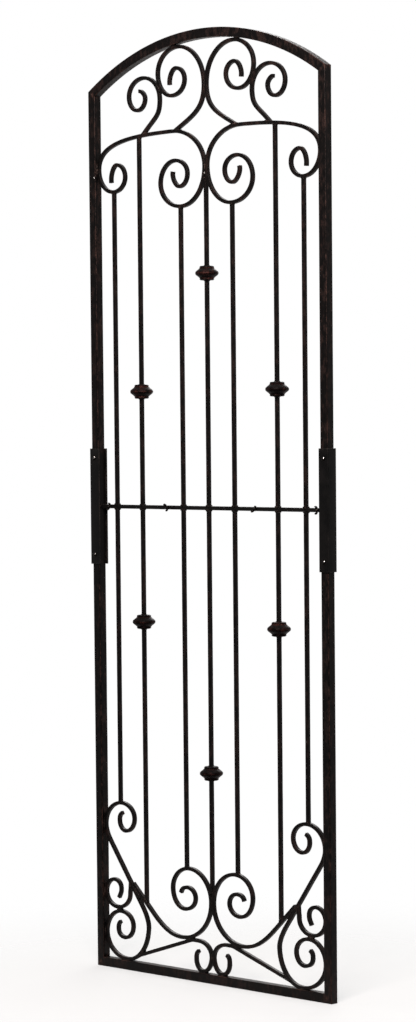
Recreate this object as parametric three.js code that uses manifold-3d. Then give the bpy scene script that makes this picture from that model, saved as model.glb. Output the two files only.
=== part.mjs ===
// Arched garden gate leaf in steel, made as two halves that bolt together at half height.
// Millimetres. X runs along the gate, Y from its front to its back, and Z is up.
// The origin is on the ground, midway between the stiles and midway between front and back.

import * as THREE from 'three';
import * as BufferGeometryUtils from 'three/addons/utils/BufferGeometryUtils.js';
import Module from 'manifold-3d';

const wasm = await Module();
wasm.setup();

// Frame
const GATE_WIDTH = 711;
const GATE_HEIGHT = 2032;
const ARCH_RISE = 106;
const TUBE = 19;
const TUBE_WALL = 1.5;
const SPLIT_HEIGHT = 1020;
const ARCH_STEPS = 32;

// Infill bars, scrolls and cross strips
const BAR = 7;
const BAR_OFFSETS = [285, 204.5, 77.5, 0];
const SCROLL_CHORD_ERROR = 0.2;
const STRIP_HEIGHT = 8.5;
const STRIP_THICKNESS = 3.35;

// Knuckle collars: heights of the middle of each, measured from the split
const COLLAR_RADIUS = 25;
const COLLAR_HEIGHT = 34;
const SIDE_COLLAR_FROM_SPLIT = 250;
const UPPER_MIDDLE_COLLAR_FROM_SPLIT = 498;
const LOWER_MIDDLE_COLLAR_FROM_SPLIT = -567;

// Splice channels and their bolts
const SPLICE_LENGTH = 254;
const SPLICE_WALL = 2.5;
const SPLICE_CLEARANCE = 0.5;
const SPLICE_FLANGE = 27;
const SPLICE_BOLT_FROM_SPLIT = 106;
const BOLT_RADIUS = 2.5;
const BOLT_HEAD_RADIUS = 4.7;
const BOLT_HEAD_HEIGHT = 2.8;
const BOLT_NUT_HEIGHT = 4;
const BOLT_NUT_ACROSS_FLATS = 8;
const BOLT_TIP = 1.5;

// Screws and wing nuts that clamp the two cross strips
const STRIP_SCREW_PLACES = [-305, -124, 142, 321];
const STRIP_SCREW_RADIUS = 2;
const STRIP_SCREW_HEAD_RADIUS = 3.8;
const STRIP_SCREW_HEAD_HEIGHT = 2.4;
const STRIP_SCREW_TIP = 2;
const WING_NUT_ANGLES = [62, 112, 52, 86];
const WING_SPAN = 18;
const WING_THICKNESS = 1.8;
const WING_BOSS_RADIUS = 4;
const WING_BOSS_LENGTH = 4.5;

// Space left between pieces that touch, and around shanks in their holes
const GAP = 0.3;
const ROUND_SEGMENTS = 16;

const HALF_WIDTH = GATE_WIDTH / 2;
const STILE_INNER = HALF_WIDTH - TUBE;
const CORNER_HEIGHT = GATE_HEIGHT - ARCH_RISE;
// Shift along a stile that leaves the gap square across its slanted mitre
const MITRE_GAP = GAP * Math.SQRT2;
const ARCH_RADIUS = (HALF_WIDTH ** 2 + ARCH_RISE ** 2) / (2 * ARCH_RISE);
const ARCH_CENTRE = GATE_HEIGHT - ARCH_RADIUS;
const SPLICE_INNER_Y = TUBE / 2 + SPLICE_CLEARANCE;
const SPLICE_OUTER_Y = SPLICE_INNER_Y + SPLICE_WALL;
// Height of each stile that a channel covers. The stile's flat faces are divided just past it.
const COVERED = SPLICE_LENGTH / 2 + 1;
// Centre-line offsets of a bar that just clears a stile, the gate's middle and the bottom rail
const AT_STILE = STILE_INNER - GAP - BAR / 2;
const AT_MIDDLE = GAP / 2 + BAR / 2;
const ON_RAIL = TUBE + GAP + BAR / 2;

const bronze = { color: 0x241a15, roughness: 0.55, metalness: 0.7 };
const black = { color: 0x151413, roughness: 0.5, metalness: 0.7 };
const blackenedSteel = { color: 0x2b2a28, roughness: 0.4, metalness: 0.85 };

const gate = new THREE.Group();

function addPiece(name, geometry, finish) {
  const mesh = new THREE.Mesh(geometry, new THREE.MeshStandardMaterial(finish));
  mesh.name = name;
  gate.add(mesh);
  return mesh;
}

// Booleans

function solidOf(geometry) {
  const bare = geometry.clone();
  bare.deleteAttribute('normal');
  bare.deleteAttribute('uv');
  const merged = BufferGeometryUtils.mergeVertices(bare, 1e-4);
  const mesh = new wasm.Mesh({
    numProp: 3,
    vertProperties: new Float32Array(merged.attributes.position.array),
    triVerts: new Uint32Array(merged.index.array),
  });
  return new wasm.Manifold(mesh);
}

function geometryOf(solid) {
  const mesh = solid.getMesh();
  const geometry = new THREE.BufferGeometry();
  geometry.setAttribute('position', new THREE.BufferAttribute(mesh.vertProperties, 3));
  geometry.setIndex(new THREE.BufferAttribute(mesh.triVerts, 1));
  geometry.computeVertexNormals();
  return geometry;
}

function cutGeometry(geometry, cutters) {
  let solid = solidOf(geometry);
  for (const cutter of cutters) {
    solid = solid.subtract(solidOf(cutter));
  }
  return geometryOf(solid);
}

// Basic forms

// An outline in X and Z, given as a shape, made solid from front to back.
function standingPlate(shape, depth, curveSegments = 1) {
  const geometry = new THREE.ExtrudeGeometry(shape, { depth, bevelEnabled: false, curveSegments });
  geometry.rotateX(Math.PI / 2);
  geometry.translate(0, depth / 2, 0);
  return geometry;
}

function outlineShape(points) {
  return new THREE.Shape(points.map(([x, y]) => new THREE.Vector2(x, y)));
}

// A round rod or hole along Y.
function crossRod(x, z, radius, length) {
  const geometry = new THREE.CylinderGeometry(radius, radius, length, ROUND_SEGMENTS);
  geometry.translate(x, 0, z);
  return geometry;
}

// A domed head with its flat underside at `underside` and a shank that ends at `end`, along Y.
function domedFastener(underside, end, shankRadius, headRadius, headHeight) {
  const outward = Math.sign(underside - end);
  const domeSteps = 4;
  const profile = [];
  for (let step = 0; step <= domeSteps; step += 1) {
    const angle = (Math.PI / 2) * (step / domeSteps);
    const height = underside + outward * headHeight * Math.cos(angle);
    profile.push(new THREE.Vector2(headRadius * Math.sin(angle), height));
  }
  profile.push(new THREE.Vector2(shankRadius, underside), new THREE.Vector2(shankRadius, end));
  profile.push(new THREE.Vector2(0, end));
  if (outward > 0) {
    profile.reverse();
  }
  return new THREE.LatheGeometry(profile, ROUND_SEGMENTS);
}

// Frame tubes: hollow square section, mitred at the corners

const TUBE_HOLLOW = TUBE - 2 * TUBE_WALL;

function addStile(name, side, corners, boltHeight) {
  const shape = outlineShape(corners.map(([out, z]) => [side * out, z]));
  const hollow = new THREE.BoxGeometry(TUBE_HOLLOW, TUBE_HOLLOW, GATE_HEIGHT);
  hollow.translate(side * (HALF_WIDTH - TUBE / 2), 0, GATE_HEIGHT / 2);
  const boltHole = crossRod(side * (HALF_WIDTH - TUBE / 2), boltHeight, BOLT_RADIUS + GAP, 2 * TUBE);
  addPiece(name, cutGeometry(standingPlate(shape, TUBE), [hollow, boltHole]), bronze);
}

function addFrame() {
  const innerCornerHeight = ARCH_CENTRE + Math.sqrt((ARCH_RADIUS - TUBE) ** 2 - STILE_INNER ** 2);
  const upperCorners = [
    [STILE_INNER, SPLIT_HEIGHT + COVERED],
    [STILE_INNER, SPLIT_HEIGHT + GAP / 2],
    [HALF_WIDTH, SPLIT_HEIGHT + GAP / 2],
    [HALF_WIDTH, SPLIT_HEIGHT + COVERED],
    [HALF_WIDTH, CORNER_HEIGHT - MITRE_GAP],
    [STILE_INNER, innerCornerHeight - MITRE_GAP],
  ];
  const lowerCorners = [
    [HALF_WIDTH, MITRE_GAP],
    [HALF_WIDTH, SPLIT_HEIGHT - COVERED],
    [HALF_WIDTH, SPLIT_HEIGHT - GAP / 2],
    [STILE_INNER, SPLIT_HEIGHT - GAP / 2],
    [STILE_INNER, SPLIT_HEIGHT - COVERED],
    [STILE_INNER, TUBE + MITRE_GAP],
  ];
  for (const [side, word] of [[-1, 'left'], [1, 'right']]) {
    addStile(`upper_${word}_stile`, side, upperCorners, SPLIT_HEIGHT + SPLICE_BOLT_FROM_SPLIT);
    addStile(`lower_${word}_stile`, side, lowerCorners, SPLIT_HEIGHT - SPLICE_BOLT_FROM_SPLIT);
  }

  const arch = archShape(ARCH_RADIUS, HALF_WIDTH, ARCH_RADIUS - TUBE, STILE_INNER);
  const pastTheEnds = HALF_WIDTH + TUBE;
  const archHollow = archShape(ARCH_RADIUS - TUBE_WALL, pastTheEnds, ARCH_RADIUS - TUBE + TUBE_WALL, pastTheEnds);
  const hollowSolid = standingPlate(archHollow, TUBE_HOLLOW, ARCH_STEPS);
  addPiece('arch_rail', cutGeometry(standingPlate(arch, TUBE, ARCH_STEPS), [hollowSolid]), bronze);

  const railShape = outlineShape([[-HALF_WIDTH, 0], [HALF_WIDTH, 0], [STILE_INNER, TUBE], [-STILE_INNER, TUBE]]);
  const railHollow = new THREE.BoxGeometry(GATE_WIDTH, TUBE_HOLLOW, TUBE_HOLLOW);
  railHollow.translate(0, 0, TUBE / 2);
  addPiece('bottom_rail', cutGeometry(standingPlate(railShape, TUBE), [railHollow]), bronze);
}

// Two concentric arcs about the arch's centre, each as wide as its own half width each way.
function archShape(outerRadius, outerHalfWidth, innerRadius, innerHalfWidth) {
  const outerAngle = Math.acos(outerHalfWidth / outerRadius);
  const innerAngle = Math.acos(innerHalfWidth / innerRadius);
  const shape = new THREE.Shape();
  shape.absarc(0, ARCH_CENTRE, outerRadius, outerAngle, Math.PI - outerAngle, false);
  shape.absarc(0, ARCH_CENTRE, innerRadius, Math.PI - innerAngle, innerAngle, true);
  shape.closePath();
  return shape;
}

// Scrolls. A station is [distance out from the gate's middle, height, heading in degrees], where
// heading 0 points outwards and 90 up. The bar follows a quarter ellipse between neighbouring
// stations. A fourth value changes how full the curve is on the way to the next station: more than
// QUARTER_ELLIPSE is squarer, less is straighter.
const QUARTER_ELLIPSE = 0.5523;

const SCROLLS = {
  shoulder_scroll: [
    [293, 1725, 80],
    [275.5, 1763, 180],
    [249.5, 1736, 270],
    [285.5, 1705, 360],
    [AT_STILE, 1755, 450, 0.72],
    [100, 1823.5, 540],
    [AT_MIDDLE, 1744, 630],
    [76, 1663, 720],
    [138.5, 1714, 810],
    [93, 1761, 900],
    [56, 1732, 990],
    [80, 1705, 1080],
    [100, 1738, 1190],
  ],
  crown_scroll: [
    [82, 1829, 153],
    [AT_MIDDLE, 1917, 90],
    [83, 2001, 0],
    [144, 1948, -90],
    [100, 1899, -180],
    [62, 1931, -270],
    [88, 1956.5, -360],
    [107.5, 1922, -460],
  ],
  side_crown_scroll: [
    [184, 1829, 137],
    [138.5, 1895, 90],
    [189, 1943.5, 0],
    [234.5, 1906, -90],
    [207, 1875.5, -180],
    [184, 1899.5, -270],
    [202, 1916, -385],
  ],
  base_scroll: [
    [242, 190.8, -497, 0.4],
    [93, 90, -540],
    [AT_MIDDLE, 173, -630],
    [70, 241.5, -720],
    [121.5, 195, -810],
    [84, 152.5, -900],
    [51.5, 178, -990],
    [75, 200, -1080],
    [96.5, 187, -1150],
  ],
  corner_curl: [
    [293, 156.5, 115],
    [285.5, 178, 90],
    [306, 196, 0],
    [AT_STILE, 168, -90],
    [296, 135.5, -180],
    [257, 168, -270],
    [255.5, 184.2, -268],
  ],
  corner_scroll: [
    [278, 346.5, 690],
    [288.5, 329, 630],
    [268, 306.5, 540],
    [241, 335.5, 450],
    [281, 367.5, 360],
    [AT_STILE, 318, 270, 0.35],
    [320, 284, 233.8],
    [217, 143.2, 233.8, 0.3],
    [199, 101.5, 270],
    [267, ON_RAIL, 360],
    [AT_STILE, 78, 450],
    [285, 127, 540],
    [248, 97, 630],
    [273.5, 69.5, 720],
    [295.5, 86, 810],
    [288, 104, 865],
  ],
  lying_scroll: [
    [42, 66, -30],
    [50.5, 47.5, -90],
    [29.5, ON_RAIL, -180],
    [AT_MIDDLE, 56.5, -270],
    [41.5, 87.6, -360],
    [76, 83.2, -377.5, 0.3],
    [215.5, 39, -377.5],
  ],
};

function unitVector(degrees) {
  const angle = THREE.MathUtils.degToRad(degrees);
  return new THREE.Vector2(Math.cos(angle), Math.sin(angle));
}

// Enough straight steps to keep within SCROLL_CHORD_ERROR of a curve. A curve that bends and bends
// back turns more than its headings show, so the turn counts as a radian at least.
function stepsFor(curve, headingChange) {
  if (headingChange === 0) {
    return 1;
  }
  const turn = Math.max(Math.abs(THREE.MathUtils.degToRad(headingChange)), 1);
  return Math.ceil(Math.sqrt((turn * curve.getLength()) / (8 * SCROLL_CHORD_ERROR)));
}

function centreLineOf(stations) {
  const points = [new THREE.Vector2(stations[0][0], stations[0][1])];
  for (let i = 1; i < stations.length; i += 1) {
    const [startOut, startHeight, startHeading, fullness = QUARTER_ELLIPSE] = stations[i - 1];
    const [endOut, endHeight, endHeading] = stations[i];
    const start = new THREE.Vector2(startOut, startHeight);
    const end = new THREE.Vector2(endOut, endHeight);
    const span = end.clone().sub(start);
    const leaving = unitVector(startHeading);
    const arriving = unitVector(endHeading);
    const curve = new THREE.CubicBezierCurve(
      start,
      start.clone().addScaledVector(leaving, fullness * Math.abs(span.dot(leaving))),
      end.clone().addScaledVector(arriving, -fullness * Math.abs(span.dot(arriving))),
      end,
    );
    points.push(...curve.getPoints(stepsFor(curve, endHeading - startHeading)).slice(1));
  }
  return points;
}

// A flat-ended ribbon, as wide as a bar, around a centre line.
function ribbonOutline(points) {
  const nearEdge = [];
  const farEdge = [];
  points.forEach((point, i) => {
    const before = points[Math.max(i - 1, 0)];
    const after = points[Math.min(i + 1, points.length - 1)];
    const along = after.clone().sub(before).normalize();
    const across = new THREE.Vector2(-along.y, along.x).multiplyScalar(BAR / 2);
    nearEdge.push(point.clone().add(across));
    farEdge.push(point.clone().sub(across));
  });
  return new THREE.Shape([...nearEdge, ...farEdge.reverse()]);
}

const centreLines = Object.fromEntries(
  Object.entries(SCROLLS).map(([name, stations]) => [name, centreLineOf(stations)]),
);

function addScrolls() {
  for (const [name, line] of Object.entries(centreLines)) {
    for (const [side, word] of [[-1, 'left'], [1, 'right']]) {
      const points = line.map((point) => new THREE.Vector2(side * point.x, point.y));
      addPiece(`${word}_${name}`, standingPlate(ribbonOutline(points), BAR), bronze);
    }
  }
}

// Bars, which run from the cross strips until they meet a scroll

function clearOfScrolls(out, height) {
  const reach = BAR / 2 + GAP;
  const corners = [out - BAR / 2, out, out + BAR / 2].map((x) => new THREE.Vector2(Math.abs(x), height));
  const lines = Object.values(centreLines);
  const near = new THREE.Vector2();
  for (const line of lines) {
    for (let i = 1; i < line.length; i += 1) {
      for (const corner of corners) {
        closestOnSegment(corner, line[i - 1], line[i], near);
        if (near.distanceTo(corner) < reach) {
          return false;
        }
      }
    }
  }
  return true;
}

function closestOnSegment(point, start, end, target) {
  const span = end.clone().sub(start);
  const share = point.clone().sub(start).dot(span) / span.lengthSq();
  return target.copy(start).addScaledVector(span, THREE.MathUtils.clamp(share, 0, 1));
}

function barEnd(out, direction) {
  const step = 0.25;
  let height = SPLIT_HEIGHT + direction * (STRIP_HEIGHT / 2 + GAP);
  while (clearOfScrolls(out, height + direction * step)) {
    height += direction * step;
  }
  return height;
}

function addBars() {
  for (const [direction, half] of [[1, 'upper'], [-1, 'lower']]) {
    const root = SPLIT_HEIGHT + direction * (STRIP_HEIGHT / 2 + GAP);
    for (let number = 1; number <= 7; number += 1) {
      const offset = BAR_OFFSETS[number <= 4 ? number - 1 : 7 - number];
      const side = Math.sign(number - 4);
      const end = barEnd(offset, direction);
      const bar = addPiece(`${half}_bar_${number}`, new THREE.BoxGeometry(BAR, BAR, Math.abs(end - root)), bronze);
      bar.position.set(side * offset, 0, (root + end) / 2);
    }
  }
}

// Knuckle collars: a sharp rim in the middle, stepped shoulders and a short neck at each end

function collarGeometry() {
  const half = COLLAR_HEIGHT / 2;
  const shoulder = [
    [0.26, 1],
    [0.3, 0.93],
    [0.5, 0.89],
    [0.6, 0.8],
    [0.62, 0.65],
    [0.66, 0.54],
    [0.74, 0.4],
    [0.86, 0.22],
    [1, 0],
  ];
  const upper = shoulder.map(([out, up]) => new THREE.Vector2(out * COLLAR_RADIUS, up * half));
  const lower = upper.slice(0, -1).map((point) => new THREE.Vector2(point.x, -point.y));
  const profile = [new THREE.Vector2(0, -half), ...lower, ...upper.reverse(), new THREE.Vector2(0, half)];
  const collar = new THREE.LatheGeometry(profile, ROUND_SEGMENTS);
  collar.rotateX(Math.PI / 2);
  const hole = new THREE.BoxGeometry(BAR + 2 * GAP, BAR + 2 * GAP, 2 * COLLAR_HEIGHT);
  return cutGeometry(collar, [hole]);
}

function addCollars() {
  const geometry = collarGeometry();
  const places = [
    ['upper_collar_2', -BAR_OFFSETS[1], SIDE_COLLAR_FROM_SPLIT],
    ['upper_collar_4', 0, UPPER_MIDDLE_COLLAR_FROM_SPLIT],
    ['upper_collar_6', BAR_OFFSETS[1], SIDE_COLLAR_FROM_SPLIT],
    ['lower_collar_2', -BAR_OFFSETS[1], -SIDE_COLLAR_FROM_SPLIT],
    ['lower_collar_4', 0, LOWER_MIDDLE_COLLAR_FROM_SPLIT],
    ['lower_collar_6', BAR_OFFSETS[1], -SIDE_COLLAR_FROM_SPLIT],
  ];
  for (const [name, x, fromSplit] of places) {
    addPiece(name, geometry, bronze).position.set(x, 0, SPLIT_HEIGHT + fromSplit);
  }
}

// Cross strips: the upper half's in front, the lower half's behind, clamped by screws and wing nuts

function addCrossStrips() {
  const length = 2 * (STILE_INNER - GAP);
  const holes = STRIP_SCREW_PLACES.map((x) => crossRod(x, 0, STRIP_SCREW_RADIUS + GAP, TUBE));
  const offset = (STRIP_THICKNESS + GAP) / 2;
  for (const [name, y] of [['upper_cross_strip', -offset], ['lower_cross_strip', offset]]) {
    const strip = new THREE.BoxGeometry(length, STRIP_THICKNESS, STRIP_HEIGHT);
    addPiece(name, cutGeometry(strip, holes), black).position.set(0, y, SPLIT_HEIGHT);
  }
}

function wingNutGeometry() {
  const boss = new THREE.CylinderGeometry(0.85 * WING_BOSS_RADIUS, WING_BOSS_RADIUS, WING_BOSS_LENGTH, ROUND_SEGMENTS);
  boss.rotateX(Math.PI);
  boss.translate(0, -WING_BOSS_LENGTH / 2, 0);
  let nut = solidOf(boss);
  const tip = WING_SPAN / 2;
  for (const side of [-1, 1]) {
    const ear = new THREE.Shape();
    ear.moveTo(side * 1, -0.4);
    ear.lineTo(side * 0.5 * tip, -0.8);
    ear.quadraticCurveTo(side * 0.95 * tip, -2, side * tip, -5.5);
    ear.quadraticCurveTo(side * 0.95 * tip, -8.5, side * 0.75 * tip, -8);
    ear.quadraticCurveTo(side * 0.6 * tip, -4.5, side * 1, -4);
    ear.closePath();
    const plate = new THREE.ExtrudeGeometry(ear, { depth: WING_THICKNESS, bevelEnabled: false, curveSegments: 4 });
    plate.translate(0, 0, -WING_THICKNESS / 2);
    nut = nut.add(solidOf(plate));
  }
  return geometryOf(nut.subtract(solidOf(crossRod(0, 0, STRIP_SCREW_RADIUS + GAP, 4 * WING_BOSS_LENGTH))));
}

function addStripScrews() {
  const clampedHalf = STRIP_THICKNESS + GAP / 2;
  const nutBase = -(clampedHalf + GAP);
  const tip = nutBase - WING_BOSS_LENGTH - STRIP_SCREW_TIP;
  const screw = domedFastener(
    clampedHalf + GAP,
    tip,
    STRIP_SCREW_RADIUS,
    STRIP_SCREW_HEAD_RADIUS,
    STRIP_SCREW_HEAD_HEIGHT,
  );
  const wingNut = wingNutGeometry();
  STRIP_SCREW_PLACES.forEach((x, i) => {
    addPiece(`strip_screw_${i + 1}`, screw, blackenedSteel).position.set(x, 0, SPLIT_HEIGHT);
    const nut = addPiece(`wing_nut_${i + 1}`, wingNut, blackenedSteel);
    nut.position.set(x, nutBase, SPLIT_HEIGHT);
    nut.rotation.y = -THREE.MathUtils.degToRad(WING_NUT_ANGLES[i]);
  });
}

// Splice channels over the split in each stile, open towards the gate's middle

function addSplice(side, word) {
  const outer = HALF_WIDTH + SPLICE_CLEARANCE + SPLICE_WALL;
  const web = outer - SPLICE_WALL;
  const lip = outer - SPLICE_FLANGE;
  const section = outlineShape([
    [side * lip, -SPLICE_OUTER_Y],
    [side * outer, -SPLICE_OUTER_Y],
    [side * outer, SPLICE_OUTER_Y],
    [side * lip, SPLICE_OUTER_Y],
    [side * lip, SPLICE_INNER_Y],
    [side * web, SPLICE_INNER_Y],
    [side * web, -SPLICE_INNER_Y],
    [side * lip, -SPLICE_INNER_Y],
  ]);
  const channel = new THREE.ExtrudeGeometry(section, { depth: SPLICE_LENGTH, bevelEnabled: false });
  channel.translate(0, 0, SPLIT_HEIGHT - SPLICE_LENGTH / 2);

  const boltX = side * (HALF_WIDTH - TUBE / 2);
  const headSeat = SPLICE_OUTER_Y + GAP;
  const boltEnd = headSeat + BOLT_NUT_HEIGHT + BOLT_TIP;
  const bolt = domedFastener(-headSeat, boltEnd, BOLT_RADIUS, BOLT_HEAD_RADIUS, BOLT_HEAD_HEIGHT);
  const nut = hexNutGeometry(BOLT_NUT_ACROSS_FLATS, BOLT_NUT_HEIGHT, BOLT_RADIUS + GAP);
  const nutMiddle = headSeat + BOLT_NUT_HEIGHT / 2;
  const holes = [];
  for (const [direction, half] of [[1, 'upper'], [-1, 'lower']]) {
    const height = SPLIT_HEIGHT + direction * SPLICE_BOLT_FROM_SPLIT;
    holes.push(crossRod(boltX, height, BOLT_RADIUS + GAP, 4 * TUBE));
    addPiece(`${word}_${half}_splice_bolt`, bolt, blackenedSteel).position.set(boltX, 0, height);
    addPiece(`${word}_${half}_splice_nut`, nut, blackenedSteel).position.set(boltX, nutMiddle, height);
  }
  addPiece(`${word}_splice_channel`, cutGeometry(channel, holes), black);
}

// A hexagonal nut along Y, centred on the origin.
function hexNutGeometry(acrossFlats, height, holeRadius) {
  const cornerRadius = acrossFlats / Math.sqrt(3);
  const body = new THREE.CylinderGeometry(cornerRadius, cornerRadius, height, 6);
  return cutGeometry(body, [crossRod(0, 0, holeRadius, 2 * height)]);
}

addFrame();
addScrolls();
addBars();
addCollars();
addCrossStrips();
addStripScrews();
addSplice(-1, 'left');
addSplice(1, 'right');

export default gate;
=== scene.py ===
# Looks for an arched iron garden gate leaf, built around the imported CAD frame. Metres, +Z up.
# X runs along the leaf, Y from its front to its back.

import math

import bmesh
import bpy
import numpy as np
from mathutils import Matrix, Vector, noise


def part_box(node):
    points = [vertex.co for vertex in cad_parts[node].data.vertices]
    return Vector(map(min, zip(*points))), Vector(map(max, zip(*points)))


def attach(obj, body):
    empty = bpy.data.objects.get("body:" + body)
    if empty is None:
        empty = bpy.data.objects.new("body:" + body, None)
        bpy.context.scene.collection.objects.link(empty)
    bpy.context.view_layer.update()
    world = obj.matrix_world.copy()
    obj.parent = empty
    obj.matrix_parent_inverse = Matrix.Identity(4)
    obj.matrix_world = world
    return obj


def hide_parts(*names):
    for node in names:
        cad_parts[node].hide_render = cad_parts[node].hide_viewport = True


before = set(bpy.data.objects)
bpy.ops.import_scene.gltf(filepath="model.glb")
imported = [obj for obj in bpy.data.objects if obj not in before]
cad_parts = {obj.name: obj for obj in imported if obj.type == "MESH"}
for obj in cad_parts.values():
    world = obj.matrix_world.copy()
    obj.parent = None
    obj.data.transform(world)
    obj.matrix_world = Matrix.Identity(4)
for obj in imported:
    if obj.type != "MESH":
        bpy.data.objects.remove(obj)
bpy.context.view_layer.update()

MM = 0.001
LEAF = "gate_leaf"
SCROLL_NAMES = [
    "shoulder_scroll", "crown_scroll", "side_crown_scroll", "base_scroll", "corner_curl", "corner_scroll",
    "lying_scroll",
]
SIDES = {"left": -1, "right": 1}
HALVES = {"upper": 1, "lower": -1}
BAR_NUMBERS = range(1, 8)
COLLARED_BARS = (2, 4, 6)
SCREW_NUMBERS = range(1, 5)
ALONG, DEPTH, UP = (1.0, 0.0, 0.0), (0.0, 1.0, 0.0), (0.0, 0.0, 1.0)

TUBE_EDGE_RADIUS = 1.4 * MM
BAR_EDGE_RADIUS = 0.5 * MM
STRIP_EDGE_RADIUS = 0.6 * MM
BAR_CHAMFER = 0.4 * MM
STRIP_CHAMFER = 0.5 * MM
# Bars and tubes are drawn thicker than their CAD nodes, to match their outlines in the photo. The
# tubes keep their outer faces, and grow inwards and to the front and back.
BAR_HALF_SHARE = 1.12
TUBE_GROWTH = 1.2 * MM
TUBE_DEPTH_GROWTH = 0.4 * MM
# The channels leave their CAD nodes to match their outlines in the photo: each stands off its stile,
# its flanges spread a little, and the lips of the right one lie further out
CHANNEL_STAND_OFF = 1.3 * MM
CHANNEL_SPREAD = 0.3 * MM
CHANNEL_CHAMFER = 0.45 * MM
LIP_SHIFTS = {"left": -0.7 * MM, "right": 2.0 * MM}
SCROLL_STEP = 3 * MM
BAR_STEP = 9 * MM
TUBE_STEP = 18 * MM
ARCH_RINGS = 72
BOTTOM_RAIL_RINGS = 38
# A centre line's chord longer than this is a straight run
STRAIGHT_RUN = 30 * MM
# CAD corners closer than this, in millimetres, are the same point
GRID = 0.01
# The most that a scroll's end may stand off the scroll that it is welded to, along its own line
FOOT_REACH = 22 * MM
# How much farther each base scroll's tip runs along the corner scroll than its CAD node, and how far
# it leans towards it
BASE_TIP_REACH = 4.5 * MM
BASE_TIP_LEAN = 1.8 * MM
BASE_LEAN_LENGTH = 80 * MM
# The widest space beside that tip that weld metal fills
WELD_FILL = 5.6 * MM
# Centre lines of two bars that are closer than this are welded together
WELD_REACH = 9.4 * MM
WELD_RIPPLE = 1.7 * MM
BEAD_SIDES = 10
# How far from a weld its heat has marked the coat
WELD_MARK = 22 * MM
# Wear, from 0 to 1, and below 0 for painted shade: a coat kept plain dark where it lies inside a splice
# channel
BAR_WEAR = 0.6
CUT_END_WEAR = 0.6
SCROLL_END_WEAR = 0.1
PAINTED_CHANNEL_SHADE = -1.0


# Sizes read from the CAD frame

def node_points(name):
    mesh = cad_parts[name].data
    points = np.empty(len(mesh.vertices) * 3, np.float32)
    mesh.vertices.foreach_get("co", points)
    return points.reshape(-1, 3).astype(float)


def end_height(points, out, highest):
    """Height of a node's highest or lowest corner at that distance from the gate's middle."""
    there = points[np.abs(np.abs(points[:, 0]) - out) < 0.2 * MM][:, 2]
    return there.max() if highest else there.min()


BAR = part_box("upper_bar_1")[1].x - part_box("upper_bar_1")[0].x
BAR_HALF = BAR / 2 * BAR_HALF_SHARE
HALF_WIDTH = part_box("arch_rail")[1].x
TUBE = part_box("bottom_rail")[1].z
TUBE_MIDDLE = (TUBE + TUBE_GROWTH) / 2
STILE_INNER = HALF_WIDTH - TUBE
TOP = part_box("arch_rail")[1].z
ARCH_END = end_height(node_points("arch_rail"), HALF_WIDTH, True)
ARCH_RADIUS = (HALF_WIDTH**2 + (TOP - ARCH_END) ** 2) / (2 * (TOP - ARCH_END))
ARCH_CENTRE = TOP - ARCH_RADIUS


# Materials

class Nodes:
    """A small helper that adds nodes to one node tree and joins them."""

    def __init__(self, tree):
        self.nodes = tree.nodes
        self.links = tree.links

    def add(self, kind, **settings):
        node = self.nodes.new("ShaderNode" + kind)
        for word, value in settings.items():
            setattr(node, word, value)
        return node

    def put(self, value, socket):
        if isinstance(value, bpy.types.NodeSocket):
            self.links.new(value, socket)
        else:
            socket.default_value = value

    def math(self, operation, first, second):
        node = self.add("Math", operation=operation)
        self.put(first, node.inputs[0])
        self.put(second, node.inputs[1])
        return node.outputs["Value"]

    def total(self, *terms):
        """The sum of (value, weight) terms."""
        result = None
        for value, weight in terms:
            term = self.math("MULTIPLY", value, weight)
            result = term if result is None else self.math("ADD", result, term)
        return result

    def ramp(self, value, low, high, start=0.0, end=1.0):
        """Smooth step of a value from start at low to end at high."""
        node = self.add("MapRange", interpolation_type="SMOOTHSTEP")
        settings = {"Value": value, "From Min": low, "From Max": high, "To Min": start, "To Max": end}
        for word, setting in settings.items():
            self.put(setting, node.inputs[word])
        return node.outputs["Result"]

    def blend_shaders(self, factor, first, second, output):
        """Joins a mix of two shaders to the tree's output."""
        node = self.add("MixShader")
        for value, socket in zip((factor, first, second), node.inputs):
            self.put(value, socket)
        self.put(node.outputs["Shader"], self.nodes[output].inputs["Surface"])


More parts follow.
